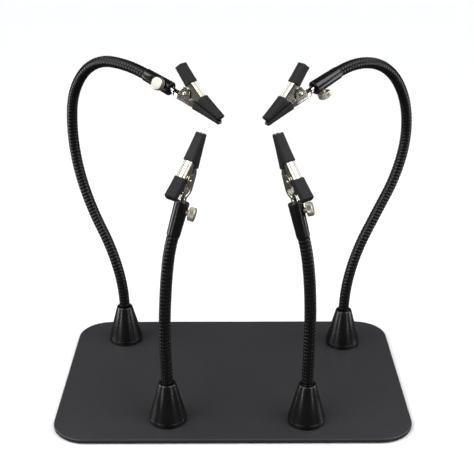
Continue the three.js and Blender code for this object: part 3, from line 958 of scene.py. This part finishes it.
def lower_outline(z):
    """Underside, top of the sides and half width of the lower jaw at a distance along the clip."""
    keys = [row[0] for row in LOWER]
    bottom = between(z, keys, [row[1] for row in LOWER])
    top = bottom + between(z, keys, [row[2] for row in LOWER])
    half_width = between(z, keys, [row[3] for row in LOWER])
    into = max(0, z - keys[-1] - TONGUE + TONGUE_ROUND) / TONGUE_ROUND
    half_width *= 1 - TONGUE_TAPER * into ** 2
    top -= TONGUE_TAPER * into ** 2
    off = z - PIVOT_Z
    if abs(off) < EAR_RADIUS:
        top = max(top, PIVOT_X + math.sqrt(EAR_RADIUS ** 2 - off ** 2))
    return bottom, top, half_width


def barrel_section(count):
    """The rolled barrel as (across, up) points with a seam along its top."""
    seam = radians(12)
    points = []
    for i in range(count):
        angle = seam + (2 * math.pi - 2 * seam) * i / (count - 1)
        points.append((BARREL_RADIUS * math.sin(angle), BARREL_RADIUS * math.cos(angle)))
    return points


def add_lower_jaw(arm, material):
    length = LOWER[-1][0] + TONGUE + BARREL_IN_HOLDER
    steps = round(length / 0.4)
    rows = []
    for k in range(steps + 1):
        z = -BARREL_IN_HOLDER + length * k / steps
        bottom, top, half_width = lower_outline(z)
        section = [(across, bottom + up) for across, up in channel_section(half_width, top - bottom)]
        rolled = barrel_section(len(section))
        share = smooth_step(z, 0.5, 5.5)
        rows.append([
            (share * s[1] + (1 - share) * r[1], share * s[0] + (1 - share) * r[0], z)
            for s, r in zip(section, rolled)
        ])
    name = arm["name"]
    jaw = sheet_piece(name + "_lower_jaw_sheet", rows, clip_frame(arm), material)
    finish_piece(jaw, name + "_clip", "clip_nickel", name + "_lower_jaw")


def add_rivet(arm, material):
    """A pin with a domed head outside each ear."""
    inside = LOWER[1][3] + 0.02
    head = [
        (RIVET_HEAD_RADIUS * math.cos(radians(a)), inside + RIVET_DOME * math.sin(radians(a)))
        for a in range(0, 91, 15)
    ]
    profile = [(r if r > 1e-6 else 0, -h) for r, h in reversed(head)]
    profile += [(RIVET_RADIUS, -inside), (RIVET_RADIUS, inside)] + head
    points, faces, uvs = lathe(profile, 40)
    place = pivot_frame(arm) @ Matrix.Rotation(radians(90), 4, "X")
    name = arm["name"]
    rivet = add_piece(name + "_domed_rivet", points, faces, place, material, uvs, 50)
    finish_piece(rivet, name + "_clip", "clip_nickel", name + "_rivet")


def tube(path, radius, sides=10):
    """A round wire along a list of points, with its section carried along without twist."""
    rings = []
    side = None
    for k, point in enumerate(path):
        ahead = (path[min(k + 1, len(path) - 1)] - path[max(k - 1, 0)]).normalized()
        if side is None:
            side = ahead.orthogonal().normalized()
        side = (side - ahead * side.dot(ahead)).normalized()
        other = ahead.cross(side)
        turns = [2 * math.pi * i / sides for i in range(sides)]
        rings.append([point + radius * (math.cos(turn) * side + math.sin(turn) * other) for turn in turns])
    return skin(rings)


def add_spring(arm, material):
    """A torsion spring: close turns round the rivet, one leg on each jaw."""
    steps, leg_steps = 80, 6
    path = []
    for k in range(steps + 1):
        angle = radians(COIL_START) + 2 * math.pi * COIL_TURNS * k / steps
        across = -COIL_HALF_LENGTH + 2 * COIL_HALF_LENGTH * k / steps
        path.append(Vector((COIL_RADIUS * math.cos(angle), across, COIL_RADIUS * math.sin(angle))))
    first = (path[0] - path[1]).normalized()
    last = (path[-1] - path[-2]).normalized()
    first.y = last.y = 0
    before = [path[0] + first * SPRING_LEG * (1 - k / leg_steps) for k in range(leg_steps)]
    after = [path[-1] + last * SPRING_LEG * (k + 1) / leg_steps for k in range(leg_steps)]
    points, faces = tube(before + path + after, SPRING_WIRE / 2)
    name = arm["name"]
    spring = add_piece(name + "_torsion_spring", points, faces, pivot_frame(arm), material)
    finish_piece(spring, name + "_clip", "spring_wire", name + "_spring")


# ---- rubber boots ----


def boot_ring(x, z, slope, depth, half_width, corner, slant=0.0, steps=5):
    """A rounded rectangle hung square below the point (x, z) of a line with that slope. slant leans its top
    back, and rounds it as seen from above."""
    down = (-math.cos(slope), -math.sin(slope))
    r = min(corner, 0.48 * depth, 0.95 * half_width)
    ring = []
    for quarter in range(4):
        side = 1 if quarter in (0, 3) else -1
        level = r if quarter < 2 else depth - r
        for i in range(steps + 1):
            angle = math.pi / 2 * (quarter + i / steps)
            below = level - r * math.sin(angle)
            across = side * (half_width - r) + r * math.cos(angle)
            leant = slant * (1 - below / depth + MOUTH_CURVE * (across / half_width) ** 2)
            off_x = down[0] * below + leant * math.sin(slope)
            off_z = down[1] * below - leant * math.cos(slope)
            ring.append((x + off_x, across, z + off_z))
    return ring


def boot_station(front, back, share, grow, corner, slant=0.0):
    """A ring of a straight taper between two (x, z, slope, depth, half width) ends, grown on every side. A
    slanted mouth at the front fades out over the first quarter."""
    x, z, slope, depth, half_width = (a + (b - a) * share for a, b in zip(front, back))
    x += grow * math.cos(slope)
    z += grow * math.sin(slope)
    fade = max(0, 1 - 4 * share)
    return boot_ring(x, z, slope, depth + 2 * grow, half_width + grow, corner + grow * 0.5, slant * fade)


def boot_outside(front, back, lip, slant):
    """Rings from the mouth's rim to where the back end begins to ease off, swelling towards both ends."""
    rows = [boot_station(front, back, 0, BOOT_OUTER - 0.22, BOOT_CORNER, slant)]
    rows += [boot_station(front, back, 0.35 * lip, BOOT_OUTER - 0.03, BOOT_CORNER, slant)]
    for k in range(11):
        share = lip + (1 - 2 * lip) * k / 10
        swell = 0.1 * (2 * share - 1) ** 4 - 0.06
        rows += [boot_station(front, back, share, BOOT_OUTER + swell, BOOT_CORNER, slant)]
    return rows


def boot_inside(front, back, deepest, slant, steps):
    """Rings from the deepest place of the hollow out to the mouth."""
    shares = [deepest - (deepest - 0.001) * k / steps for k in range(steps + 1)]
    return [boot_station(front, back, share, BOOT_SLACK, 0.6 * BOOT_CORNER, slant) for share in shares]


def boot_mesh(name, front, back, closed_back, place, material, slant=0.0):
    """A rubber sleeve that fits the metal between two ends: open in front, and at the back unless closed."""
    length = math.dist(front[:2], back[:2])
    lip = BOOT_LIP / length
    rows = boot_outside(front, back, lip, slant)
    mouth = 0
    if closed_back:
        rows += [boot_station(front, back, 1 - 0.3 * lip, BOOT_OUTER - 0.1, BOOT_CORNER)]
        rows += [boot_station(front, back, 1, BOOT_OUTER - 0.45, BOOT_CORNER)]
        hollow = boot_inside(front, back, 1 - (GAP + BOOT_WALL) / length, slant, 5)
        mouth = len(hollow)
        rows = hollow + rows
    else:
        rows += [boot_station(front, back, 1 - 0.35 * lip, BOOT_OUTER - 0.03, BOOT_CORNER)]
        rows += [boot_station(front, back, 1, BOOT_OUTER - 0.22, BOOT_CORNER)]
        rows += boot_inside(front, back, 0.999, slant, 12)
    points, faces = skin(rows, closed=not closed_back)
    count = len(rows[0])
    uvs = [((k % count) / count, (k // count - mouth) / BOOT_UV_ROWS) for k in range(len(points))]
    return add_piece(name, points, faces, place, material, uvs, 60)


def stretch_beyond(front, back, distance):
    """The front end moved past itself on the straight taper from the back end."""
    step = distance / math.dist(front[:2], back[:2])
    return tuple(a + (a - b) * step for a, b in zip(front, back))


def upper_ends():
    """The upper jaw's metal at the nose, the knee, the heel and the thumb end."""
    ends = []
    x, z = TOP_START
    for k, (depth, half_width) in enumerate(zip(UPPER_DEPTHS, UPPER_HALF_WIDTHS)):
        slope = radians(TOP_SLOPES[min(k, 2)])
        ends.append((x, z, slope, depth, half_width))
        if k < 3:
            x += TOP_LENGTHS[k] * math.sin(slope)
            z -= TOP_LENGTHS[k] * math.cos(slope)
    return ends


def add_boots(arm, material):
    name = arm["name"]
    place = clip_frame(arm)
    nose, knee, heel, end = upper_ends()
    slope = nose[2]
    knee = (*knee[:2], slope, *knee[3:])
    tip = stretch_beyond(nose, knee, BOOT_OVERHANG)
    upper = boot_mesh(name + "_upper_nose_sleeve", tip, knee, False, place, material)
    finish_piece(upper, name + "_lever", "boot_rubber", name + "_upper_nose_boot")

    z, bottom, height, half_width = LOWER[-1]
    low_nose = (bottom + height, z, 0.0, height, half_width)
    z, bottom, height, half_width = LOWER[-2]
    low_knee = (bottom + height, z, 0.0, height, half_width)
    low_tip = stretch_beyond(low_nose, low_knee, BOOT_OVERHANG)
    lower = boot_mesh(name + "_lower_nose_sleeve", low_tip, low_knee, False, place, material, MOUTH_SLANT)
    finish_piece(lower, name + "_clip", "boot_rubber", name + "_lower_nose_boot")

    slope = radians(TOP_SLOPES[2])
    front = (*heel[:2], slope, heel[3], end[4])
    back = stretch_beyond((*end[:2], slope, *end[3:]), front, BOOT_OVERHANG)
    thumb = boot_mesh(name + "_thumb_sleeve", front, back, True, place, material)
    finish_piece(thumb, name + "_lever", "boot_rubber", name + "_thumb_boot")


# ---- the whole object ----


def add_arms():
    lacquer = gloss_black("foot_gloss_black", 0.26)
    ferrule = gloss_black("holder_gloss_black", 0.24)
    plating = neck_black()
    pot = nickel("magnet_pot_nickel", (0.62, 0.62, 0.62), 0.3, 0.05)
    screw = nickel("screw_bright_nickel", (0.74, 0.7, 0.6), 0.38, 0.08)
    sheet = nickel("clip_bright_nickel", (0.6, 0.575, 0.5), 0.13, 0.08)
    wire = nickel("spring_wire_nickel", (0.7, 0.69, 0.65), 0.22, 0.05)
    rubber = boot_rubber()
    for arm in ARMS:
        add_magnet(arm, pot)
        add_cone(arm, lacquer)
        add_neck(arm, plating)
        add_holder(arm, ferrule)
        add_thumb_screw(arm, screw)
        add_lower_jaw(arm, sheet)
        add_upper_jaw(arm, sheet)
        add_rivet(arm, sheet)
        add_spring(arm, wire)
        add_boots(arm, rubber)


bpy.context.scene.view_settings.view_transform = "Standard"
add_camera()
add_world()
add_floor()
light_studio()
add_base()
add_arms()
